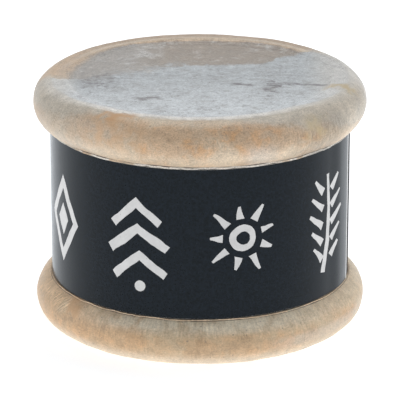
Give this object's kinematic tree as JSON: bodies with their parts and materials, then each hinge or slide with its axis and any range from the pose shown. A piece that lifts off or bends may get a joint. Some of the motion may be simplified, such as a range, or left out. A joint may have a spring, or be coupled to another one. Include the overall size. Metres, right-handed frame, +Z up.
{
  "type": "drum shaker",
  "caption": "Short cylindrical hand drum with a rawhide head dried over a rounded ring at each end, a printed wrap round its waist, and loose rattle seeds inside.",
  "frame": {"origin": "on the drum's axis, on the surface that it stands on", "axes": "+Z up along the axis from one head to the other; the label's seam is near +X, a little towards -Y, which is the side that the picture shows"},
  "size_m": [0.0838, 0.0838, 0.0627],
  "materials": {
    "tube_wood": "bare inside, stained black outside",
    "bead_wood": "bare, sanded",
    "rawhide": "dried rawhide, satin, mottled",
    "label_print": "laminated, gloss",
    "seed": "dry seed coat, satin"
  },
  "bodies": {
    "drum": {"shell_tube": "tube_wood", "bottom_bead_ring": "bead_wood", "top_bead_ring": "bead_wood", "bottom_head": "rawhide", "top_head": "rawhide", "label_wrap": "label_print"},
    "seeds": {"rattle_seeds": "seed"}
  },
  "joints": [
    {"name": "seed_throw", "type": "slide", "parent": "drum", "child": "seeds", "axis": [0, 0, 1], "range_m": [0, 0.0541]}
  ]
}
